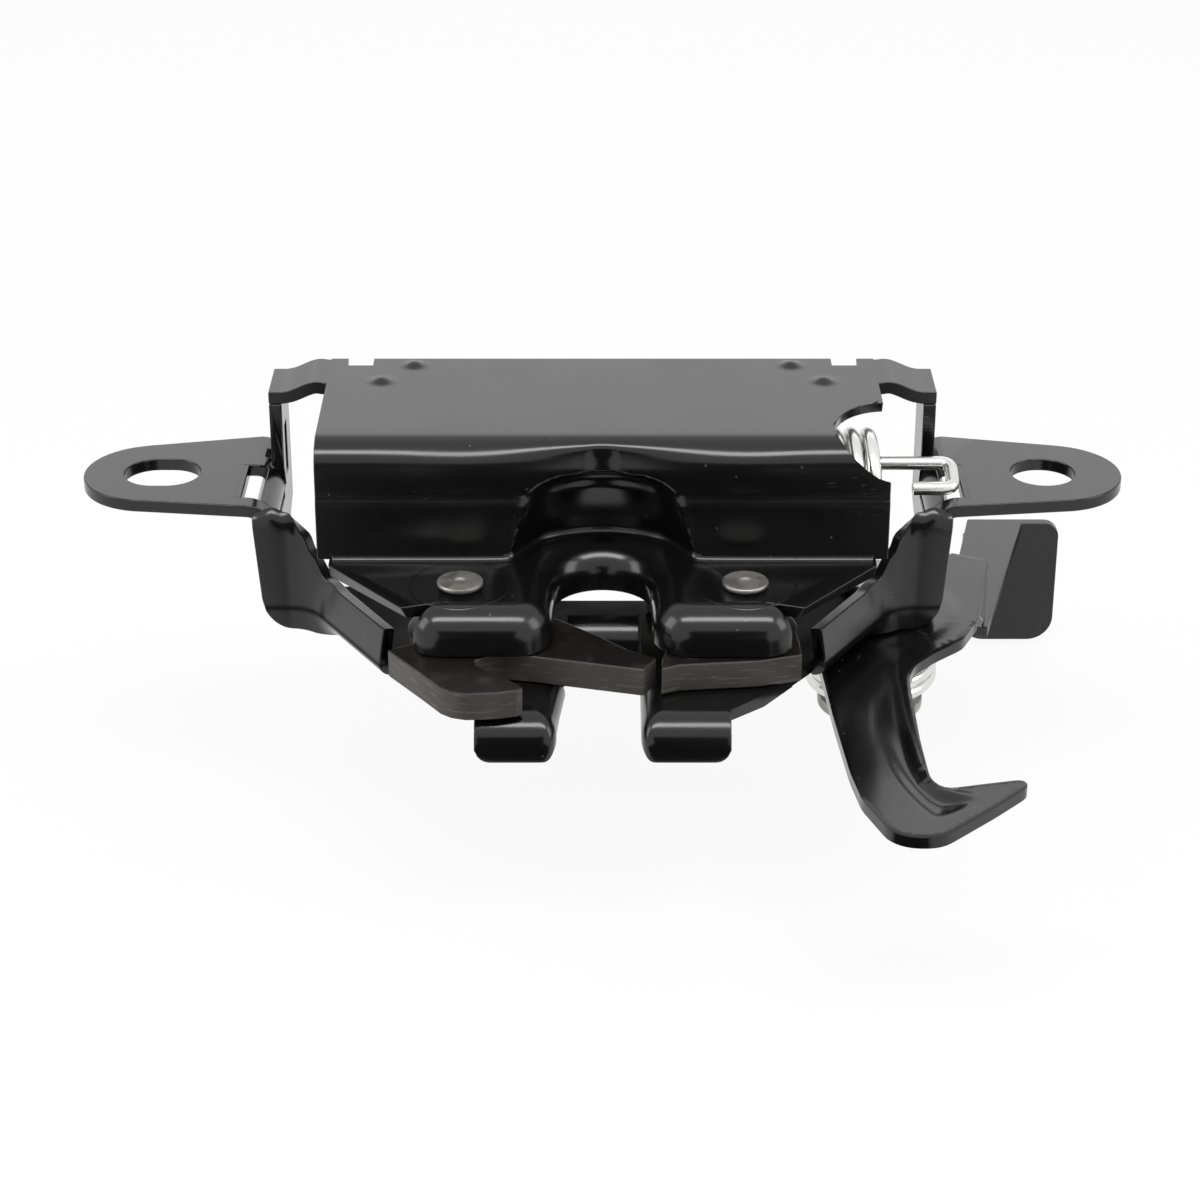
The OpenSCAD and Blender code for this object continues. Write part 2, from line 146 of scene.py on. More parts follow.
def softbox(name, place, size, watts):
    """A soft lamp aimed at the latch, which the camera itself doesn't see."""
    lamp = bpy.data.lights.new(name, "AREA")
    lamp.shape = "RECTANGLE"
    lamp.size, lamp.size_y = size
    lamp.energy = watts
    box = bpy.data.objects.new(name, lamp)
    box.location = place
    box.rotation_euler = (-Vector(place)).to_track_quat("-Z", "Y").to_euler()
    box.visible_camera = False
    bpy.context.collection.objects.link(box)


softbox("rear_softbox", (0, 0.75, 0.42), (0.9, 0.4), 0.55)
softbox("strip_softbox", (0, -0.33, 0.73), (0.9, 0.2), 5.2)
softbox("left_softbox", (-0.7, -0.15, 0.35), (0.35, 0.5), 1.6)
softbox("right_softbox", (0.7, -0.2, 0.35), (0.35, 0.5), 1.6)

# A dark card lies and stands in front, as it does for any gloss black piece, and only shows
# in the gloss of the upright faces that mirror it.
card_low, card_high = floor_drop + 2 * mm, 0.3
card_near, card_far = -0.07, -0.8
card_sheet = bpy.data.meshes.new("dark_card")
card_sheet.from_pydata(
    [(-0.05, card_near, card_low), (0.05, card_near, card_low), (0.14, card_far, card_low),
     (-0.14, card_far, card_low), (0.2, card_far, card_high), (-0.2, card_far, card_high)],
    [], [(0, 1, 2, 3), (3, 2, 4, 5)])
card = bpy.data.objects.new("dark_card", card_sheet)
card.visible_camera = card.visible_shadow = card.visible_diffuse = False
bpy.context.collection.objects.link(card)
card_felt = bpy.data.materials.new("card_felt")
felt = shader_tree(card_felt)
felt.make("OutputMaterial", {}, {
    "Surface": felt.make("BsdfDiffuse", {}, {"Color": (0.02, 0.02, 0.02, 1)})})
card_sheet.materials.append(card_felt)

# The base bracket is one blank of 1.8 mm steel sheet, cut, pierced and folded in a press.
# It carries the ears, the walls and the prongs, and is dipped in gloss black after folding.


def blend(share, first, second):
    """A colour between two others."""
    return share.make("Mix", {"data_type": "RGBA"}, {0: share, 6: first, 7: second}, out=2)


def black_coat(name, shift):
    """Gloss black dip coat: a faint orange peel, patchy gloss, fine scratches and dust.

    A dark matte film on the top of the lower plate behind the prongs is painted shade for the gap between the
    plates.
    """
    dipped_black, scratched_grey = (0.0036, 0.0036, 0.004, 1), (0.3, 0.3, 0.29, 1)
    # Painted shade: the dark tone of the matte film that stands for the shade between the plates
    painted_shade_tone = (0.006, 0.0055, 0.005, 1)
    plate_drop_mm, painted_shade_front_cm = 14.9, 4.1
    scratch_ways = [((0.6, 0.2, 0.5), 160, 1500), ((0.2, 1.1, 2.2), 230, 1700), ((1, 0.5, 1.4), 120, 1300)]
    material = bpy.data.materials.new(name)
    start = shader_tree(material)
    place = start.make("VectorMath", {"operation": "ADD"}, {
        0: start.make("TexCoord", out="Object"), 1: (shift, shift * 0.7, shift * 0.3)})
    peel = start.make("TexNoise", {}, {"Vector": place, "Scale": 700, "Detail": 2})
    patch = start.make("TexNoise", {}, {"Vector": place, "Scale": 70, "Detail": 4})
    cloud = start.make("TexNoise", {}, {"Vector": place, "Scale": 38, "Detail": 2})
    rubbed = start.make("ValToRGB", {"stops": [(0.6, 0), (0.72, 1)]}, {0: cloud})
    across, height = [start.make("SeparateXYZ", {}, {0: start.make("TexCoord", out="Object")}, out=axis)
                      for axis in (1, 2)]
    # Painted shade: a mask for the top of the lower plate behind the prongs, where the shade between the plates
    # is painted
    inside = (start.make("ValToRGB", {"stops": [(0, 1), (0.7, 0)]}, {
                  0: start.maths("ABSOLUTE", height * 1000 + plate_drop_mm, 0)})
              * start.make("ValToRGB", {"stops": [(0.1, 0), (0.5, 1)]}, {0: across * 100 + painted_shade_front_cm}))
    scratch = 0
    for turn, long, fine in scratch_ways:
        drawn_out = start.make("Mapping", {}, {
            "Vector": place, "Rotation": turn, "Scale": (long, fine, fine)})
        strand = start.make("TexVoronoi", {}, {"Vector": drawn_out, "Scale": 1})
        scratch = scratch + start.make("ValToRGB", {"stops": [(0.04, 1), (0.085, 0)]}, {0: strand})
    scratch = scratch * rubbed
    speck = start.make("TexVoronoi", {}, {"Vector": place, "Scale": 300})
    dust = start.make("ValToRGB", {"stops": [(0.025, 1), (0.06, 0)]}, {0: speck}) * patch
    mark = scratch * 0.32 + dust * 0.4
    tone = blend(mark, dipped_black, scratched_grey)
    bump = start.make("Bump", {}, {
        "Strength": 0.1, "Distance": 0.05 * mm, "Height": peel + patch - scratch * 0.5})
    gloss = start.make("BsdfPrincipled", {}, {
        "Base Color": tone, "Roughness": patch * 0.14 + 0.12 + mark * 0.3, "IOR": 1.5, "Normal": bump})
    # Painted shade: a dark matte film mixed in over the gloss where the plates shade each other
    painted_shade_film = start.make("BsdfDiffuse", {}, {"Color": painted_shade_tone, "Roughness": 0.8, "Normal": bump})
    start.make("OutputMaterial", {}, {
        "Surface": start.make("MixShader", {}, {0: inside * (0.7 + patch * 0.4), 1: gloss, 2: painted_shade_film})})
    return material


sharp_fold = 32  # degrees; anything flatter is shaded smooth and left alone


def ease_edges(piece, width):
    """Round the sharp edges of a piece a little, as tumbling and paint leave them."""
    easing = piece.modifiers.new("eased_edges", "BEVEL")
    easing.width = width * mm
    easing.segments = 2
    easing.limit_method = "ANGLE"
    easing.angle_limit = math.radians(sharp_fold)
    easing.harden_normals = True
    easing.use_clamp_overlap = False


def finished(name, work, material, body, node, crease=sharp_fold, ease=0):
    """A piece from its finished mesh, smooth up to its creases, on its body in place of its node."""
    mesh = bpy.data.meshes.new(name)
    for face in work.faces:
        face.smooth = True
    work.to_mesh(mesh)
    work.free()
    mesh.set_sharp_from_angle(angle=math.radians(crease))
    mesh.materials.append(material)
    piece = bpy.data.objects.new(name, mesh)
    bpy.context.collection.objects.link(piece)
    if ease:
        ease_edges(piece, ease)
    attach(piece, body)
    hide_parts(node)


def pressed(node, name, body, material, ease, reshape=None):
    """A copy of a stamped or folded node, cleaned of seams, with its cut edges eased."""
    seam_gap, flat_angle = 0.06, 0.06
    work = bmesh.new()
    work.from_mesh(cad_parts[node].data)
    bmesh.ops.remove_doubles(work, verts=work.verts, dist=seam_gap * mm)
    bmesh.ops.dissolve_limit(work, angle_limit=math.radians(flat_angle), verts=work.verts, edges=work.edges)
    if reshape:
        reshape(work)
    finished(name, work, material, body, node, ease=ease)


def rounded_route(corners, bend, steps=6):
    """A line through corner points with each corner turned on a small curve."""
    just_under_half = 0.49
    corners = [Vector(c) for c in corners]
    route = [corners[0]]
    for before, corner, after in zip(corners, corners[1:], corners[2:]):
        reach_in = min(bend, (before - corner).length * just_under_half)
        reach_out = min(bend, (after - corner).length * just_under_half)
        start = corner + (before - corner).normalized() * reach_in
        end = corner + (after - corner).normalized() * reach_out
        for i in range(steps + 1):
            t = i / steps
            route.append(start * (1 - t) ** 2 + corner * 2 * t * (1 - t) + end * t ** 2)
    return route + [corners[-1]]


def between(value, marks):
    """Read a value off a line of marks: pairs of place and height, joined without kinks."""
    if value <= marks[0][0]:
        return marks[0][1]
    for (low, first), (high, last) in zip(marks, marks[1:]):
        if value <= high:
            share = (value - low) / (high - low)
            return first + (last - first) * share * share * (3 - 2 * share)
    return marks[-1][1]


def bent_sheet(work, grid, thickness):
    """A bent sheet from a grid of points in millimetres: its face, its back and its cut edges."""
    rows, columns = len(grid), len(grid[0])
    face, back = [], []
    for i in range(rows):
        face.append([work.verts.new(point * mm) for point in grid[i]])
        back.append([])
        for j in range(columns):
            along = grid[min(i + 1, rows - 1)][j] - grid[max(i - 1, 0)][j]
            up = grid[i][min(j + 1, columns - 1)] - grid[i][max(j - 1, 0)]
            back[i].append(work.verts.new((grid[i][j] - along.cross(up).normalized() * thickness) * mm))
    made = []
    for side in (face, back):
        for i in range(rows - 1):
            for j in range(columns - 1):
                made.append(work.faces.new([side[i][j], side[i + 1][j], side[i + 1][j + 1], side[i][j + 1]]))
    rim = [(i, 0) for i in range(rows)] + [(rows - 1, j) for j in range(1, columns)]
    rim += [(i, columns - 1) for i in range(rows - 2, -1, -1)] + [(0, j) for j in range(columns - 2, 0, -1)]
    for (i, j), (k, l) in zip(rim, rim[1:] + rim[:1]):
        made.append(work.faces.new([face[i][j], face[k][l], back[k][l], back[i][j]]))
    bmesh.ops.recalc_face_normals(work, faces=made)


bracket_sheet = 1.8


def front_flange(work, side):
    """The flange that turns up from the lower plate, rounds a corner and ends as the front panel."""
    strip_start, turn_x, panel_end, panel_y = (29.87, -30.35, 0), 40.5, 48.2, -13
    low_run, high_run, rows = 3.46, 3, 8
    corner_x, corner_wide, corner_high = 43.2, 5, 4.8
    tilt_low, draw_top, draw_rate, draw_most = -14.5, -1.3, 0.075, 0.9
    top_line = [(36.5, -9.7), (38.6, -9.2), (40.1, -6.1), (41.2, -3.7), (43.4, -0.4), (45.4, 0.5),
                (panel_end, -0.2)]
    route = rounded_route([strip_start, (turn_x, panel_y, 0), (panel_end, panel_y, 0)], 3.2, 12)
    outline = []
    for low, high in zip(route, route[1:]):
        count = max(1, math.ceil((high - low).length / 0.6))
        outline += [low.lerp(high, i / count) for i in range(count)]
    outline.append(route[-1])
    grid = []
    for i, spot in enumerate(outline):
        along = (outline[min(i + 1, len(outline) - 1)] - outline[max(i - 1, 0)]).normalized()
        inward = Vector((-along.y, along.x, 0))
        x = spot.x
        corner = min(max((x - corner_x) / corner_wide, 0), 1)
        bottom = between(x, [(37, -18.16), (40, -18.2)]) + corner_high * (1 - math.sqrt(1 - corner ** 2))
        fold = max(math.radians(between(x, [(36.6, 90), (40.2, 0)])), 0.01)
        top = between(x, top_line)
        curl = math.radians(between(x, [(41, 2), (44.6, 62), (panel_end, 72)]))
        column = []
        for k in range(rows, 0, -1):
            turn = fold * k / rows
            reach = low_run / fold
            column.append((reach * (1 - math.cos(turn)), bottom + low_run - reach * math.sin(turn)))
        for k in range(rows + 1):
            column.append((0, bottom + low_run + (top - high_run - bottom - low_run) * k / rows))
        for k in range(1, rows + 1):
            turn = curl * k / rows
            reach = high_run / curl
            column.append((reach * (1 - math.cos(turn)), top - high_run + reach * math.sin(turn)))
        strip_tilt = between(x, [(37.5, 0.16), (turn_x, 0)])
        end_tilt = between(x, [(41, 0), (panel_end, 1)])
        row = []
        for back, z in column:
            place = spot + inward * (back + max(z - tilt_low, 0) * strip_tilt)
            drawn_in = end_tilt * min(max(draw_top - z, 0) * draw_rate, draw_most)
            row.append(Vector((side * (place.x - drawn_in), place.y, z)))
        grid.append(row if side > 0 else row[::-1])
    bent_sheet(work, grid, bracket_sheet)


prong_root = -33


def bracket_forms(work):
    """Take the square panels, strips and tips off the copy, and put the drawn forms in their place.

    Two webs narrow the notch of each ear: one on the bend and one on the flat.
    """
    strip_facing, strip_at = Vector((0.8526, -0.5225, 0)), Vector((36.8, -15.6, 0))
    wall_front, bend_front, panel_side = -11.15, -11.52, 35.3
    bend_low, plate_top, strip_back, strip_inner = -4, -14.87, -13, 20
    web_rows, web_x, web_r, web_from, web_turn = (-8.7, -5, -1, 2.7), 49.1, 4, 118, 62
    web_flat = [(x, -0.04) for x in (51.7, 50.8, 49.9)]
    mirror = Vector((-1, 1, 1))
    cuts = [(Vector((0, y, 0)), Vector((0, 1, 0))) for y in (wall_front, bend_front, prong_root)]
    cuts += [(Vector((x, 0, 0)), Vector((1, 0, 0))) for x in (panel_side, -panel_side)]
    cuts += [(strip_at, strip_facing), (strip_at * mirror, strip_facing * mirror)]
    for spot, facing in cuts:
        bmesh.ops.bisect_plane(work, geom=work.verts[:] + work.edges[:] + work.faces[:], dist=1e-6,
                               plane_co=spot * mm, plane_no=facing)
    gone = []
    for face in work.faces:
        middle = face.calc_center_median() / mm
        x = abs(middle.x)
        outside = strip_facing.dot(Vector((x, middle.y, 0)) - strip_at) > -0.02
        panel = x > panel_side and middle.y < (wall_front if middle.z < bend_low else bend_front)
        strip = outside and middle.y < strip_back and x > strip_inner
        if middle.y < prong_root or strip or (panel and (outside or middle.z > plate_top)):
            gone.append(face)
    bmesh.ops.delete(work, geom=gone, context="FACES")
    for side in (-1, 1):
        front_flange(work, side)
        turns = [math.radians(web_from + web_turn * i / 8) for i in range(9)]
        web_bend = [(web_x + web_r * math.cos(t), web_r * math.sin(t) - web_r) for t in turns]
        for profile in (web_bend, web_flat):
            row = [Vector((side * x, 0, z)) for x, z in profile][::side]
            bent_sheet(work, [[point + Vector((0, y, 0)) for point in row] for y in web_rows], bracket_sheet)


bracket_coat = black_coat("bracket_coat", 0)
pressed("base_bracket", "folded_bracket", "frame", bracket_coat, 0.22, bracket_forms)


def skin(work, rows, around=False):
    """Faces between neighbouring rows of points; around also joins each row's end to its start."""
    made = []
    for near, far in zip(rows, rows[1:]):
        for i in range(len(near) if around else len(near) - 1):
            j = (i + 1) % len(near)
            made.append(work.faces.new([near[i], near[j], far[j], far[i]]))
    return made


def prong(work, side, slot_side):
    """One prong of the lower plate: its tip and its slot edge are rolled down in one sweep."""
    plate_top, roll_y, tip_r, slot_r = -14.9, -42.4, 4, 2.9
    end_x, turn_x, root_x = 16.7, slot_side + slot_r, 7.9
    lip_low, end_wide, end_rise = -20.9, 2, 2.2
    end_runs, past_end = [0, 0.12, 0.4, 0.8, 1.3, 1.9, 2.6], 3
    straight_x, squarer = end_x - end_runs[-1], 0.55
    ahead, sideways = Vector((0, -tip_r, 0)), Vector((-slot_r, 0, 0))
    sweep = [(Vector((end_x - run, roll_y, 0)), ahead, tip_r, run) for run in end_runs]
    for i in range(1, 13):
        x = straight_x + (turn_x - straight_x) * i / 12
        sweep.append((Vector((x, roll_y, 0)), ahead, tip_r, past_end))
    for i in range(1, 17):
        turn = math.radians(90 * i / 16)
        outward = Vector((-slot_r * math.sin(turn) ** squarer, -tip_r * math.cos(turn) ** squarer, 0))
        sweep.append((Vector((turn_x, roll_y, 0)), outward, tip_r - (tip_r - slot_r) * i / 16, past_end))
    for i in range(1, 11):
        x, y = turn_x + (root_x - turn_x) * i / 10, roll_y + (prong_root - roll_y) * i / 10
        sweep.append((Vector((x, y, 0)), sideways, slot_r, past_end))
    quarter = [math.radians(90 * k / 10) for k in range(11)]
    rings = []
    for i, (spot, reach, radius, run) in enumerate(sweep):
        outer = min(max((end_wide - run) / end_wide, 0), 1)
        slot_rise = between(i, [(20, 0), (31, 1.4), (38, 2.4)])
        bottom = lip_low + end_rise * (1 - math.sqrt(1 - outer ** 2)) + slot_rise
        inner = reach * (1 - bracket_sheet / reach.length)
        inset = 0.25 if i == 0 else 0.07 if i == 1 else 0
        mid = (reach + inner) / 2
        eased, foot = bottom + 0.12 + inset, bottom + inset
        centre = plate_top - radius
        profile = [(reach * math.sin(a), centre + radius * math.cos(a) - inset) for a in quarter]
        profile += [(reach - (reach - mid) * inset * 1.1, bottom + 0.4),
                    (reach.lerp(mid, 0.1), eased), (reach.lerp(mid, 0.4), foot),
                    (inner.lerp(mid, 0.4), foot), (inner.lerp(mid, 0.1), eased), (inner, bottom + 0.4)]
        profile += [(inner * math.sin(a), centre + (radius - bracket_sheet) * math.cos(a))
                    for a in reversed(quarter)]
        ring = []
        for step, z in profile:
            place = spot + step
            ring.append(work.verts.new(Vector((side * place.x, place.y, z)) * mm))
        rings.append(ring)
    made = [work.faces.new(rings[0]), work.faces.new(rings[-1])] + skin(work, rings)
    edge = [(25.28, prong_root), (21.2, -38.6)]
    top, low = [[work.verts.new(Vector((side * x, y, z)) * mm) for x, y in edge]
                for z in (plate_top, plate_top - bracket_sheet)]
    made.append(work.faces.new([ring[0] for ring in rings] + top))
    made.append(work.faces.new([ring[-1] for ring in rings] + low))
    border_top = [rings[-1][0]] + top + [rings[0][0]]
    border_low = [rings[-1][-1]] + low + [rings[0][-1]]
    for k in range(3):
        made.append(work.faces.new([border_top[k], border_top[k + 1], border_low[k + 1], border_low[k]]))
    bmesh.ops.recalc_face_normals(work, faces=made)


prongs = bmesh.new()
prong(prongs, -1, 6)
prong(prongs, 1, 5)
finished("rolled_prongs", prongs, bracket_coat, "frame", "base_bracket")

# The cover is a second pressing over the bracket, drawn from the same sheet in one stroke.
# Its top turns down over a round bend to a wall with a dent, and the plate below it carries
# the rivets and a collar that is rolled down around the striker slot and along the front.
cover_sheet = 1.8
cover_half, cover_back, cover_top = 38.7, 13, 12
wall_y, bend_r = -19.3, 5
plate_z, slot_y = -4.5, -23.1
tab_end, tab_low, tab_high = 46.9, 3.6, 12.6
notch_left, notch_right, notch_depth = 32.6, 36.2, 10.4
dimples, dimple_r, dimple_rise = [(26.7, 10.4), (31, 4.4), (-26.7, 10.4), (-31, 4.4)], 2.1, 0.3
rivet_x, rivet_y = 19, -27


def spaced(marks, steps):
    """Places along a line through set marks, no further apart than each stretch's step."""
    places = []
    for low, high, step in zip(marks, marks[1:], steps):
        count = max(1, math.ceil(abs(high - low) / step))
        places += [low + (high - low) * i / count for i in range(count)]
    return places + [marks[-1]]


def dent_depth(x, z):
    """How far the drawn dent sets the wall back, with a soft rim that dies out around it."""
    foot_radius, taper, soft_rim = 12.8, 0.3, 1.2
    roof_z, roof_high, roof_radius, roof_drop = 3.5, 4, 10.4, 8.4
    if z < roof_z:
        radius = foot_radius - taper * (z - plate_z)
    else:
        roof = min((z - roof_z) / roof_high, 1)
        radius = roof_radius - roof_drop * (1 - math.sqrt(1 - roof ** 2))
    ahead = wall_y - slot_y
    inside = radius ** 2 - x ** 2
    depth = (inside - ahead ** 2) / (math.sqrt(max(inside, 0)) + ahead)
    return (depth + math.sqrt(depth ** 2 + 4 * soft_rim ** 2)) / 2


def joggle(x):
    """Rise and fall of a corner tab from the cover's edge down onto the bracket's post."""
    return between(abs(x) - cover_half, [(0, 0), (1.4, 0.15), (6.4, -1.4)])


def wall_wave(x, z):
    """How the drawn wall stands back: a soft step half way down, and a pull above the dent."""
    step_deep, pull_deep, pull_wide = 0.5, 0.9, 9
    swell_high, swell_x, swell_wide = 0.25, 19, 7
    step = step_deep * between(z, [(3.2, 0), (4.9, 1), (7, 1), (11.5, 0)])
    pull = pull_deep * math.exp(-(x / pull_wide) ** 2)
    pull -= swell_high * math.exp(-((abs(x) - swell_x) / swell_wide) ** 2)
    return step + pull * between(z, [(4, 0), (7.5, 1), (9.5, 1), (12, 0)])


wall_gap, dent_fade = 0.04, 3
half_columns = spaced([0, 14, 24, notch_left, notch_right, cover_half, 44, tab_end],
                      [0.5, 1, 0.5, 0.6, 0.5, 0.5, 1])
columns = [-x for x in reversed(half_columns[1:])] + half_columns
top_rows = spaced([cover_back, tab_high, notch_depth, tab_low, 2, -13], [0.4, 0.45, 0.45, 0.5, 1.2])
section = [(y, cover_top) for y in top_rows]
section += [(wall_y + bend_r - bend_r * math.sin(a), cover_top - bend_r + bend_r * math.cos(a))
            for a in [math.pi / 2 * i / 18 for i in range(19)]]
section += [(wall_y, z) for z in spaced([cover_top - bend_r, plate_z + wall_gap], [0.42])[1:]]
shell = bmesh.new()
grid = []
for y, z in section:
    row = []
    for x in columns:
        place = Vector((x, y, z))
        if z < cover_top:
            place.y += dent_depth(x, z) * min((cover_top - z) / dent_fade, 1) + wall_wave(x, z)
        else:
            place.z += joggle(x)
            for spot in dimples:
                away = math.hypot(x - spot[0], y - spot[1])
                if away < dimple_r:
                    place.z += dimple_rise * (1 + math.cos(math.pi * away / dimple_r))
        row.append(shell.verts.new(place * mm))
    grid.append(row)
for i in range(len(section) - 1):
    for j in range(len(columns) - 1):
        mid_x = abs(columns[j] + columns[j + 1]) / 2
        mid_y = (section[i][0] + section[i + 1][0]) / 2
        on_top = section[i + 1][1] == cover_top
        if mid_x > cover_half and not (on_top and tab_low < mid_y < tab_high):
            continue
        if on_top and notch_left < mid_x < notch_right and mid_y > notch_depth:
            continue
        shell.faces.new([grid[i][j], grid[i + 1][j], grid[i + 1][j + 1], grid[i][j + 1]])
bmesh.ops.delete(shell, geom=[v for v in shell.verts if not v.link_faces], context="VERTS")
bmesh.ops.recalc_face_normals(shell, faces=shell.faces)
if max(shell.faces, key=lambda f: f.calc_center_median().z).normal.z < 0:
    bmesh.ops.reverse_faces(shell, faces=shell.faces)
shell_mesh = bpy.data.meshes.new("cover_shell")
shell.to_mesh(shell_mesh)
shell.free()
shell_blank = bpy.data.objects.new("cover_shell", shell_mesh)
bpy.context.collection.objects.link(shell_blank)
thickness = shell_blank.modifiers.new("thickness", "SOLIDIFY")
thickness.thickness = cover_sheet * mm
thickness.offset = -1

# The round cut-out over the lift spring is punched at a slant through the bend
punch_r, punch_long, punch_lift, tilt = 7.8 * mm, 16 * mm, 2, math.radians(32)
punch_x, punch_y, punch_z = 39.3, -12.2, 11
punch_mesh = bpy.data.meshes.new("spring_cut_out")
punch = bmesh.new()
bmesh.ops.create_cone(punch, cap_ends=True, segments=96, radius1=punch_r, radius2=punch_r, depth=punch_long)
punch.to_mesh(punch_mesh)
punch.free()
punch_tool = bpy.data.objects.new("spring_cut_out", punch_mesh)
punch_tool.rotation_euler = (tilt, 0, 0)
punch_tool.location = Vector((
    punch_x, punch_y - punch_lift * math.sin(tilt), punch_z + punch_lift * math.cos(tilt))) * mm
bpy.context.collection.objects.link(punch_tool)
cut_out = shell_blank.modifiers.new("spring_cut_out", "BOOLEAN")
cut_out.operation = "DIFFERENCE"
cut_out.object = punch_tool
bpy.context.view_layer.update()
cut_shell = bpy.data.meshes.new_from_object(shell_blank.evaluated_get(bpy.context.evaluated_depsgraph_get()))
bpy.data.objects.remove(punch_tool)
bpy.data.objects.remove(shell_blank)

# The collar is rolled down along the front lips, around their inner corners and behind the slot
roll_r, lip_drop = 4, 2
slot_flat, slot_front, lip_end = 10.6, -32.4, 21.3
lip_end_r, lip_corner_r = 0.3, 1.5


def arc(centre, radius, first, last, count):
    """Points on an arc with the way that each faces out from the centre."""
    turns = [math.radians(first + (last - first) * i / count) for i in range(count + 1)]
    return [(Vector((centre[0] + radius * math.cos(t), centre[1] + radius * math.sin(t), 0)),
             Vector((math.cos(t), math.sin(t), 0))) for t in turns]


right_side = arc((lip_end, slot_front + lip_end_r), lip_end_r, -30, -90, 8)
right_side += arc((slot_flat + lip_corner_r, slot_front + lip_corner_r), lip_corner_r, -90, -180, 12)
back_of_slot = [(p, -n) for p, n in arc((0, slot_y), slot_flat, 0, 180, 48)]
left_side = [(Vector((-p.x, p.y, 0)), Vector((-n.x, n.y, 0))) for p, n in reversed(right_side)]
roll_line = right_side + back_of_slot + left_side
quarter = [math.radians(90 * i / 10) for i in range(11)]
inner_r, lip_z = roll_r - cover_sheet, -roll_r - lip_drop
roll_over = [(roll_r * math.sin(a), roll_r * (math.cos(a) - 1)) for a in quarter]
roll_over += [(roll_r, lip_z), (inner_r, lip_z)]
roll_over += [(inner_r * math.sin(a), inner_r * math.cos(a) - roll_r) for a in reversed(quarter)]
collar = bmesh.new()
collar.from_mesh(cut_shell)
swept = [[collar.verts.new((p + n * t + Vector((0, 0, plate_z + z))) * mm) for t, z in roll_over]
         for p, n in roll_line]
skin(collar, swept)
collar.faces.new(swept[0])
collar.faces.new(swept[-1])
dent_r, wall_back = 13.9, wall_y + cover_sheet
dent_start = math.degrees(math.asin((wall_back - slot_y) / dent_r))
plate_corners = [Vector((37.1, wall_back, 0)), Vector((37.1, -20.9, 0)), Vector((26.6, -33.9, 0))]
plate_rim = [Vector((-p.x, p.y, 0)) for p in reversed(plate_corners)]
plate_rim += [p for p, n in arc((0, slot_y), dent_r, 180 - dent_start, dent_start, 40)]
plate_rim += plate_corners
rim_top = [collar.verts.new((p + Vector((0, 0, plate_z))) * mm) for p in plate_rim]
rim_low = []
for p in plate_rim:
    lean = Vector((-math.copysign(0.8, p.x), 0.6, 0))
    lean *= between(abs(p.x), [(20, 0), (26, 1), (27, 1), (37, 0.3)])
    rim_low.append(collar.verts.new((p + lean + Vector((0, 0, plate_z - cover_sheet))) * mm))
collar.faces.new([points[0] for points in swept] + rim_top)
collar.faces.new([points[-1] for points in swept] + rim_low)
for i in range(len(plate_rim) - 1):
    collar.faces.new([rim_top[i], rim_top[i + 1], rim_low[i + 1], rim_low[i]])
collar.faces.new([swept[-1][0], rim_top[0], rim_low[0], swept[-1][-1]])
collar.faces.new([swept[0][0], rim_top[-1], rim_low[-1], swept[0][-1]])

# The small radius that the die leaves along the foot of the wall
foot_r, foot_sunk, foot_back, foot_end = 0.9, 0.2, 0.3, 37
foot_rows = []
foot_line = [x for x in columns if abs(x) < foot_end]
feet = [wall_y + dent_depth(x, plate_z + foot_r) + wall_wave(x, plate_z + foot_r) for x in foot_line]
for i, x in enumerate(foot_line):
    left, right = max(i - 1, 0), min(i + 1, len(feet) - 1)
    ahead = Vector((feet[right] - feet[left], foot_line[left] - foot_line[right], 0)).normalized()
    foot = Vector((x, feet[i], plate_z))
    curve = [foot + ahead * foot_r * (1 - math.cos(a)) + Vector((0, 0, foot_r * (1 - math.sin(a))))
             for a in [math.radians(90 * k / 6) for k in range(7)]]
    behind = foot - ahead * foot_back
    curve += [curve[-1] - Vector((0, 0, foot_sunk)), behind - Vector((0, 0, foot_sunk)),
              behind + Vector((0, 0, foot_r))]
    foot_rows.append([collar.verts.new(point * mm) for point in curve])
skin(collar, foot_rows, around=True)
collar.faces.new(foot_rows[0])
collar.faces.new(foot_rows[-1])
bmesh.ops.recalc_face_normals(collar, faces=collar.faces)

# Faint rings that the riveting tool leaves around the heads
ring_sides, ring_profile = 72, [(6.4, -0.12), (6.75, 0.07), (7.1, -0.12)]
for side in (-1, 1):
    ring_rows = []
    for i in range(ring_sides):
        turn = 2 * math.pi * i / ring_sides
        row = []
        for ring_at, lift in ring_profile:
            x = side * rivet_x + ring_at * math.cos(turn)
            y = rivet_y + ring_at * math.sin(turn)
            over = max(slot_front - y, 0)
            z = plate_z + lift - roll_r + math.sqrt(roll_r ** 2 - over ** 2)
            row.append(collar.verts.new(Vector((x, y, z)) * mm))
        ring_rows.append(row)
    skin(collar, ring_rows + ring_rows[:1], around=True)
bmesh.ops.recalc_face_normals(collar, faces=collar.faces)
cover_coat = black_coat("cover_coat", 0.4)
finished("pressed_cover", collar, cover_coat, "frame", "cover", ease=0.15)

# Two shouldered rivets are turned from mild steel and headed over cold in the rivet plate.
# A third, with a wide foot, holds the safety lever under the lower plate.


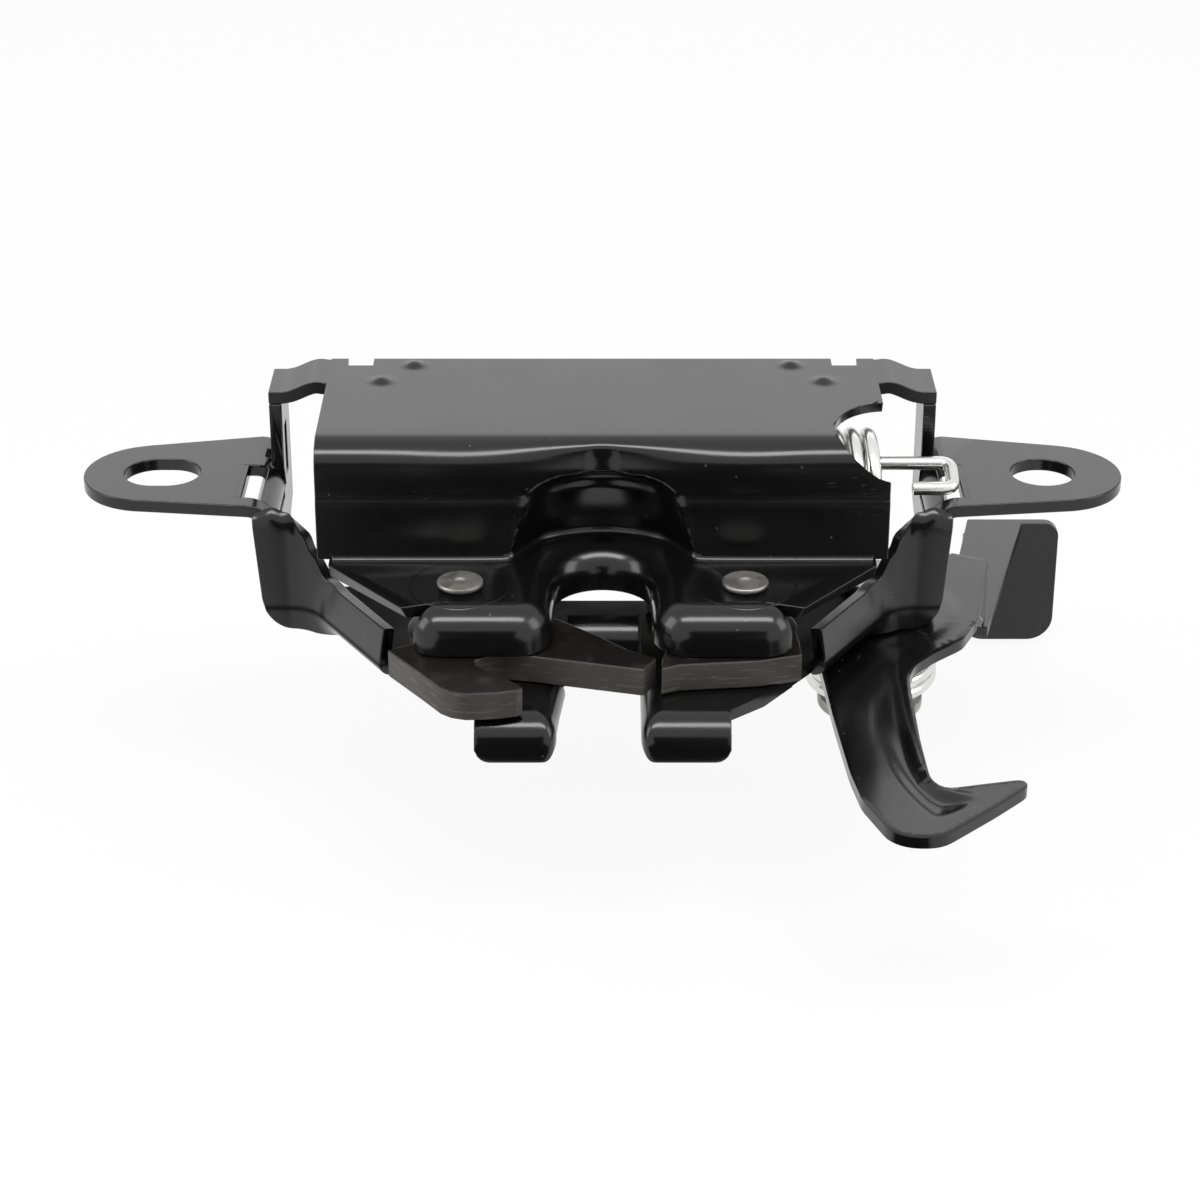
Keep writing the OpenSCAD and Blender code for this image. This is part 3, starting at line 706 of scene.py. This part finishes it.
def turned(node, name, outline, centre, ease, material, sides=64):
    """A lathe part from its outline of radius and height, with eased corners."""
    profile = rounded_route([(r, 0, z) for r, z in outline], ease, 4)
    turns = [2 * math.pi * i / sides for i in range(sides)]
    work = bmesh.new()
    rings = []
    for point in profile:
        if point.x < 1e-6:
            rings.append([work.verts.new((centre[0] * mm, centre[1] * mm, point.z * mm))])
        else:
            rings.append([work.verts.new((
                (centre[0] + point.x * math.cos(turn)) * mm, (centre[1] + point.x * math.sin(turn)) * mm,
                point.z * mm)) for turn in turns])
    for low, high in zip(rings, rings[1:]):
        for i in range(sides):
            j = (i + 1) % sides
            corners = [low[i % len(low)], low[j % len(low)], high[j % len(high)], high[i % len(high)]]
            work.faces.new(list(dict.fromkeys(corners)))
    if len(rings[0]) > 1:
        for i in range(sides):
            j = (i + 1) % sides
            work.faces.new([rings[-1][i], rings[-1][j], rings[0][j], rings[0][i]])
    bmesh.ops.recalc_face_normals(work, faces=work.faces)
    finished(name, work, material, "frame", node, crease=40)


def worn_steel(name):
    """Bare steel, turned and hammered: a fine grain, dull patches and brown staining."""
    material = bpy.data.materials.new(name)
    start = shader_tree(material)
    place = start.make("TexCoord", out="Object")
    blotch = start.make("TexNoise", {}, {"Vector": place, "Scale": 320, "Detail": 5})
    grain = start.make("TexNoise", {}, {"Vector": place, "Scale": 2600, "Detail": 3})
    stain = start.make("ValToRGB", {"stops": [(0.42, 0), (0.7, 1)]}, {0: blotch})
    tone = blend(stain, (0.36, 0.35, 0.33, 1), (0.16, 0.15, 0.135, 1))
    bump = start.make("Bump", {}, {"Strength": 0.25, "Distance": 0.04 * mm, "Height": grain + blotch})
    start.make("OutputMaterial", {}, {"Surface": start.make("BsdfPrincipled", {}, {
        "Base Color": tone, "Metallic": 0.9 - stain * 0.4, "Roughness": 0.34 + stain * 0.25,
        "Normal": bump})})
    return material


rivet_steel = worn_steel("rivet_steel")
shouldered_outline = [
    (0, -18.1), (4.5, -18.1), (4.5, -16.7), (3, -16.7), (3, -14.9), (4, -14.9), (4, -6.3),
    (2.5, -6.3), (2.5, -4.5), (3.1, -4.5), (3.1, -3.8), (0.9, -3.8), (0.6, -4.05), (0, -4.05)]
footed_outline = [
    (0, -33.7), (7.5, -33.7), (7.5, -32.1), (4, -32.1), (4, -16.7), (3, -16.7), (3, -14.9),
    (5, -14.9), (5, -13.3), (1.2, -13.3), (0.8, -13.6), (0, -13.6)]
lever_pivot = (38.4, -5.5)
for rivet, place_x in (("claw_rivet", -rivet_x), ("pawl_rivet", rivet_x)):
    turned(rivet, "headed_" + rivet, shouldered_outline, (place_x, rivet_y), 0.3, rivet_steel)
turned("lever_rivet", "footed_lever_rivet", footed_outline, lever_pivot, 0.4, rivet_steel)

# The claw and the pawl are fine-blanked from 4 mm plate and phosphated to a dark brown-grey.
# The striker turns the claw on the left rivet, and the pawl on the right one holds it.


def phosphate(name):
    """Dark phosphate with an oily mottle, paler on the sheared edges and worn to steel in streaks."""
    material = bpy.data.materials.new(name)
    start = shader_tree(material)
    place = start.make("TexCoord", out="Object")
    mottle = start.make("TexNoise", {}, {"Vector": place, "Scale": 160, "Detail": 6})
    crystal = start.make("TexNoise", {}, {"Vector": place, "Scale": 3000, "Detail": 2})
    streak = start.make("TexNoise", {}, {
        "Vector": start.make("Mapping", {}, {"Vector": place, "Scale": (1, 1, 9)}),
        "Scale": 300, "Detail": 4})
    worn = start.make("ValToRGB", {"stops": [(0.56, 0), (0.72, 1)]}, {0: streak})
    upright = start.make("SeparateXYZ", {}, {0: start.make("NewGeometry", out="Normal")}, out=2)
    sheared = 1 - start.make("ValToRGB", {"stops": [(0.3, 0), (0.9, 1)]}, {
        0: start.maths("ABSOLUTE", upright, 0)})
    dark = blend(mottle, (0.005, 0.0046, 0.0042, 1), (0.01, 0.0092, 0.0082, 1))
    pale = blend(mottle, (0.045, 0.043, 0.039, 1), (0.085, 0.08, 0.072, 1))
    skin = blend(sheared, dark, pale)
    tone = blend(worn * (0.1 + sheared * 0.4), skin, (0.2, 0.19, 0.17, 1))
    bump = start.make("Bump", {}, {"Strength": 0.2, "Distance": 0.03 * mm, "Height": crystal + mottle})
    start.make("OutputMaterial", {}, {"Surface": start.make("BsdfPrincipled", {}, {
        "Base Color": tone, "Metallic": sheared * 0.4 + worn * 0.2,
        "Roughness": 0.2 + sheared * 0.2 - worn * 0.06 + mottle * 0.12, "IOR": 1.35, "Normal": bump})})
    return material


dark_phosphate = phosphate("dark_phosphate")
pressed("claw", "blanked_claw", "claw", dark_phosphate, 0.3)
pressed("pawl", "blanked_pawl", "pawl", dark_phosphate, 0.3)

# The springs are wound from zinc-plated wire. The lift spring lies under the cover with one
# leg hooked in the right ear, and small ones sit on the rivets above the claw and the pawl.


def zinc_plate(name):
    """Bright zinc: pale and neutral, with a cloudy bloom in its gloss and a fine spotting."""
    material = bpy.data.materials.new(name)
    start = shader_tree(material)
    place = start.make("TexCoord", out="Object")
    bloom = start.make("TexNoise", {}, {"Vector": place, "Scale": 130, "Detail": 4})
    spot = start.make("TexNoise", {}, {"Vector": place, "Scale": 1500, "Detail": 3})
    tone = blend(bloom, (0.66, 0.66, 0.65, 1), (0.8, 0.8, 0.78, 1))
    bump = start.make("Bump", {}, {"Strength": 0.15, "Distance": 0.03 * mm, "Height": spot})
    start.make("OutputMaterial", {}, {"Surface": start.make("BsdfPrincipled", {}, {
        "Base Color": tone, "Metallic": 0.95, "Roughness": 0.14 + bloom * 0.16, "Normal": bump})})
    return material


def wire(node, name, path, thickness, body, material, sides=16):
    """Round wire swept along a path in millimetres, with its cut ends eased."""
    end_run, end_radius = 0.2, thickness * 0.36
    points = [Vector(p) for p in path]
    ends = [(tip - inner).normalized() for tip, inner in ((points[0], points[1]), (points[-1], points[-2]))]
    turns = [2 * math.pi * i / sides for i in range(sides)]
    work = bmesh.new()
    rings = []
    across = None

    def ring(point, along, radius):
        side = along.cross(across)
        return [work.verts.new((point + (across * math.cos(turn) + side * math.sin(turn)) * radius) * mm)
                for turn in turns]

    for i, point in enumerate(points):
        along = (points[min(i + 1, len(points) - 1)] - points[max(i - 1, 0)]).normalized()
        if across is None:
            across = along.orthogonal().normalized()
            rings.append(ring(point + ends[0] * end_run, along, end_radius))
        across = (across - along * across.dot(along)).normalized()
        rings.append(ring(point, along, thickness / 2))
    rings.append(ring(points[-1] + ends[1] * end_run, along, end_radius))
    skin(work, rings, around=True)
    work.faces.new(rings[0])
    work.faces.new(rings[-1])
    bmesh.ops.recalc_face_normals(work, faces=work.faces)
    finished(name, work, material, body, node, crease=50)


spring_zinc = zinc_plate("spring_zinc")
coil_y, coil_z, coil_r = -8.6, 2.2, 6.7
coil_first, coil_last, coil_steps = 24.2, 38.2, 220
coil_from, coil_to = -70, 6 * 360
lift_coil = []
for i in range(coil_steps + 1):
    share = i / coil_steps
    angle = math.radians(coil_from + (coil_to - coil_from) * share)
    lift_coil.append((coil_first + (coil_last - coil_first) * share,
                      coil_y + coil_r * math.cos(angle), coil_z + coil_r * math.sin(angle)))
lift_wire, small_wire, wire_bend = 1.94, 1.36, 1.6
lift_arm = rounded_route([(1, -13.4, -8.4), (1, -6.31, -8.4), (1, -6.31, -4.1), (23, -6.31, -4.1),
                          lift_coil[0]], wire_bend)
lift_leg = rounded_route([lift_coil[-1], (39.3, -1.9, 2.2), (48.6, -1.9, 2.2), (48.6, -7.2, 0.7),
                          (43, -7.2, 0.7)], wire_bend)
wire("lift_spring", "wound_lift_spring", lift_arm[:-1] + lift_coil + lift_leg[1:], lift_wire,
     "frame", spring_zinc)


def upright_coil(centre, radius, first, last, low, rise, steps):
    """Points up a coil around an upright axis, from one turn in degrees to another."""
    points = []
    for i in range(steps + 1):
        angle = math.radians(first + (last - first) * i / steps)
        points.append((centre[0] + radius * math.cos(angle), centre[1] + radius * math.sin(angle),
                       low + rise * i / steps))
    return points


small_wound, small_leg = 540, 7
for spring, place_x, leg_turn in (("claw_spring", -rivet_x, 0), ("pawl_spring", rivet_x, 40)):
    small_coil = upright_coil((place_x, rivet_y), radius=5, first=leg_turn - small_wound, last=leg_turn,
                              low=-9.8, rise=1.37, steps=60)
    way = math.radians(leg_turn + 90)
    end_x, end_y, end_z = small_coil[-1]
    small_coil.append((end_x + small_leg * math.cos(way), end_y + small_leg * math.sin(way), end_z))
    wire(spring, "wound_" + spring, small_coil, small_wire, "frame", spring_zinc)

# The safety lever is a second catch, pressed from sheet with a hook, a stiffening bead and a
# paddle for the hand. It turns on the lever rivet, pushed back by the spring wound under it.
lever_coat = black_coat("lever_coat", 0.9)
lever_top, lever_sheet = -18.5, 1.8
trough_start, trough_end = -24, (47.6, -58.7)
bead_corners = [(48.5, -12.7), (43.6, -14.8), (40.3, -21.7), (40.1, -36.1), (40.6, -52.2), (43.2, -58.1),
                (47.3, -58.6)]
trough_corners = [(39.6, trough_start), (35.8, -34), (35.2, -43), (36.6, -52.2), (40.2, -63.6), (42, -64.6),
                  (47.9, -58.8)]
bead_line, trough_line = [[(p.x, p.y) for p in rounded_route([(x, y, 0) for x, y in corners], 5)]
                          for corners in (bead_corners, trough_corners)]
trough_rim = [Vector(p) for p in [b for b in bead_line if b[1] < trough_start] + trough_line[::-1]]


def nearest(x, y, line):
    """Distance from a place to a line of points."""
    best = math.inf
    for (ax, ay), (bx, by) in zip(line, line[1:]):
        dx, dy = bx - ax, by - ay
        share = min(max(((x - ax) * dx + (y - ay) * dy) / (dx * dx + dy * dy), 0), 1)
        best = min(best, math.hypot(x - ax - dx * share, y - ay - dy * share))
    return best


def lever_relief(x, y):
    """Depth below the boss: the plate around it, the stiffening bead and the trough beside the bead."""
    boss_step, bead_wide = 0.3, 0.7
    from_bead = nearest(x, y, bead_line)
    from_pivot = math.hypot(x - lever_pivot[0], y - lever_pivot[1])
    plate_level = -boss_step * between(from_pivot, [(10.8, 0), (12.4, 1)])
    bead = boss_step * math.exp(-(from_bead / bead_wide) ** 2) * between(x, [(45, 1), (48, 0)])
    level = max(plate_level, bead - boss_step)
    crossings = sum((a.y > y) != (b.y > y) and x < a.x + (y - a.y) * (b.x - a.x) / (b.y - a.y)
                    for a, b in zip(trough_rim, trough_rim[1:] + trough_rim[:1]))
    if crossings % 2:
        from_trough = nearest(x, y, trough_line)
        share = from_trough / (from_trough + from_bead + 1e-6)
        from_end = math.hypot(x - trough_end[0], y - trough_end[1])
        depth = between(-y, [(-trough_start, 0), (38, 0.3), (54, 0.75)]) * between(from_end, [(0.5, 0), (5, 1)])
        level -= depth * between(share, [(0, 0), (0.66, 1), (0.8, 1), (1, 0)])
    return level


# The plate's outline is drawn from the pivot: the arm with its hook, the rear and the boss with its bore
pivot_x, pivot_y = lever_pivot
arm_corners = [
    (-9.4, -4), (-8.6, -18.5), (-7.9, -32), (-6.8, -46.5), (-5.8, -53.6), (-3.1, -61), (-1.4, -62.5),
    (0.6, -63), (2.6, -62.9), (4.2, -62.2), (11, -55.4), (15.4, -50.6), (15.6, -49.4), (15, -48.4),
    (9.4, -49.7), (5.6, -50.6), (4.2, -50.3), (3.3, -48.4), (3, -38), (3.1, -25), (3.2, -20.6),
    (4.4, -17), (7.4, -13.4), (11.7, -9.4), (13.9, -4.4)]
rear_corners = [(4, -11), (10, -8.6), (14.2, -4), (18.2, 16.4), (13.2, 18.8), (4, 12)]
boss_r, bore_r = 13.3, 4.06
lever_arm = [(p.x, p.y) for p in rounded_route(
    [(x + pivot_x, y + pivot_y, 0) for x, y in arm_corners], 1.2, 3)]
lever_rear = [(x + pivot_x, y + pivot_y) for x, y in rear_corners]
lever_boss, lever_bore = [
    [(pivot_x + radius * math.cos(2 * math.pi * i / sides),
      pivot_y + radius * math.sin(2 * math.pi * i / sides)) for i in range(sides)]
    for radius, sides in ((boss_r, 90), (bore_r, 48))]
step, eased = 0.55, 0.35
spots, rings, inset = [], [], []
for ring, inward in ((lever_arm, 1), (lever_rear, 1), (lever_boss, 1), (lever_bore, -1)):
    line = []
    for a, b in zip(ring, ring[1:] + ring[:1]):
        a, b = Vector(a), Vector(b)
        count = max(1, math.ceil((b - a).length / step))
        line += [a.lerp(b, i / count) for i in range(count)]
    rings.append(list(range(len(spots), len(spots) + len(line))))
    spots += line
    for before, here, after in zip(line[-1:] + line[:-1], line, line[1:] + line[:1]):
        way = (after - before).normalized()
        inset.append(here + Vector((-way.y, way.x)) * eased * inward)
edge_points = KDTree(len(spots))
for i, spot in enumerate(spots):
    edge_points.insert((spot.x, spot.y, 0), i)
edge_points.balance()
inset = [spot for spot in inset if edge_points.find((spot.x, spot.y, 0))[2] > eased * 0.9]
field_x, field_y, field_columns, field_rows, row_step = 25, -69, 62, 175, step * 0.87
field = [Vector((field_x + step * i + step * 0.5 * (j % 2), field_y + row_step * j))
         for i in range(field_columns) for j in range(field_rows)]
spots += inset + [spot for spot in field if edge_points.find((spot.x, spot.y, 0))[2] > eased * 2]
points, _, faces = delaunay_2d_cdt(spots, [], rings, 1, 1e-4)[:3]

# The press leaves no sharp step, so each height is evened out with the heights beside it
beside = [set() for point in points]
for corners in faces:
    for i in corners:
        beside[i].update(corners)
levels = [lever_top + lever_relief(point.x, point.y) for point in points]
for press in range(3):
    levels = [(level + sum(levels[i] for i in near) / len(near)) / 2 if near else level
              for level, near in zip(levels, beside)]
plate = bmesh.new()
upper, lower = [], []
for point, level in zip(points, levels):
    upper.append(plate.verts.new(Vector((point.x, point.y, level)) * mm))
    lower.append(plate.verts.new(Vector((point.x, point.y, level - lever_sheet)) * mm))
border = {}  # edges with a face on one side only, kept in order
for corners in faces:
    middle = sum((points[i] for i in corners), Vector((0, 0))) / len(corners)
    if math.hypot(middle.x - pivot_x, middle.y - pivot_y) < bore_r - 0.02:
        continue
    plate.faces.new([upper[i] for i in corners])
    plate.faces.new([lower[i] for i in reversed(corners)])
    for a, b in zip(corners, corners[1:] + corners[:1]):
        if (b, a) in border:
            del border[(b, a)]
        else:
            border[(a, b)] = True
for a, b in border:
    plate.faces.new([upper[b], upper[a], lower[a], lower[b]])
eased_drop = 0.14 * mm
for i in {i for edge in border for i in edge}:
    upper[i].co.z -= eased_drop
    lower[i].co.z += eased_drop
bmesh.ops.delete(plate, geom=[v for v in plate.verts if not v.link_faces], context="VERTS")
bmesh.ops.recalc_face_normals(plate, faces=plate.faces)
finished("hooked_lever_plate", plate, lever_coat, "lever", "safety_lever", 40)


def tail_only(work):
    """Leave the wall, the strip and the paddle of the copy, with the wall's front end cut to a slant."""
    def closed():
        bmesh.ops.holes_fill(work, edges=[e for e in work.edges if e.is_boundary], sides=0)

    under_plate = -20.4 * mm
    plate_faces = [f for f in work.faces if f.calc_center_median().z > under_plate]
    bmesh.ops.delete(work, geom=plate_faces, context="FACES")
    closed()
    strip_end, slant_end, slant_top = [
        Vector(p) * mm for p in ((56.7, 8, -28.5), (56.7, 8, -27.6), (51.9, -4.4, -20.3))]
    along, across = Vector((0.19, 0.98, 0)), Vector((0.98, -0.19, 0))
    slant = (slant_end - slant_top).cross(across)
    for spot, facing in ((strip_end, along), (slant_top, slant)):
        part = [f for f in work.faces
                if along.dot(min((v.co for v in f.verts), key=along.dot) - strip_end) < -1e-6]
        rims = dict.fromkeys(part_of for f in part for part_of in list(f.edges) + list(f.verts))
        bmesh.ops.bisect_plane(work, geom=part + list(rims), dist=1e-7, plane_co=spot, plane_no=facing)
    cut_off = [f for f in work.faces if along.dot(f.calc_center_median() - strip_end) < 0
               and slant.dot(f.calc_center_median() - slant_top) > 0]
    bmesh.ops.delete(work, geom=cut_off, context="FACES")
    closed()
    bmesh.ops.recalc_face_normals(work, faces=work.faces)


pressed("safety_lever", "lever_tail", "lever", lever_coat, 0.22, tail_only)
sleeve_outline = [(4, -32.1), (6.3, -32.1), (6.3, -20.5), (4, -20.5)]
turned("lever_bush", "lever_sleeve", sleeve_outline, lever_pivot, 0.3, spring_zinc)
lever_wire, coil_start, coil_wound, coil_low, tail_reach = 1.92, 120, 4 * 360, -29.62, 15.4
lever_coil = upright_coil(lever_pivot, radius=8.4, first=coil_start, last=coil_start + coil_wound,
                          low=coil_low, rise=7.84, steps=180)
tail_way = math.radians(coil_start)
spring_tail = [(pivot_x + tail_reach * math.cos(tail_way), pivot_y + tail_reach * math.sin(tail_way), coil_low),
               lever_coil[0], lever_coil[3]]
wire("lever_spring", "wound_lever_spring", rounded_route(spring_tail, wire_bend)[:-1] + lever_coil[3:],
     lever_wire, "lever", spring_zinc)
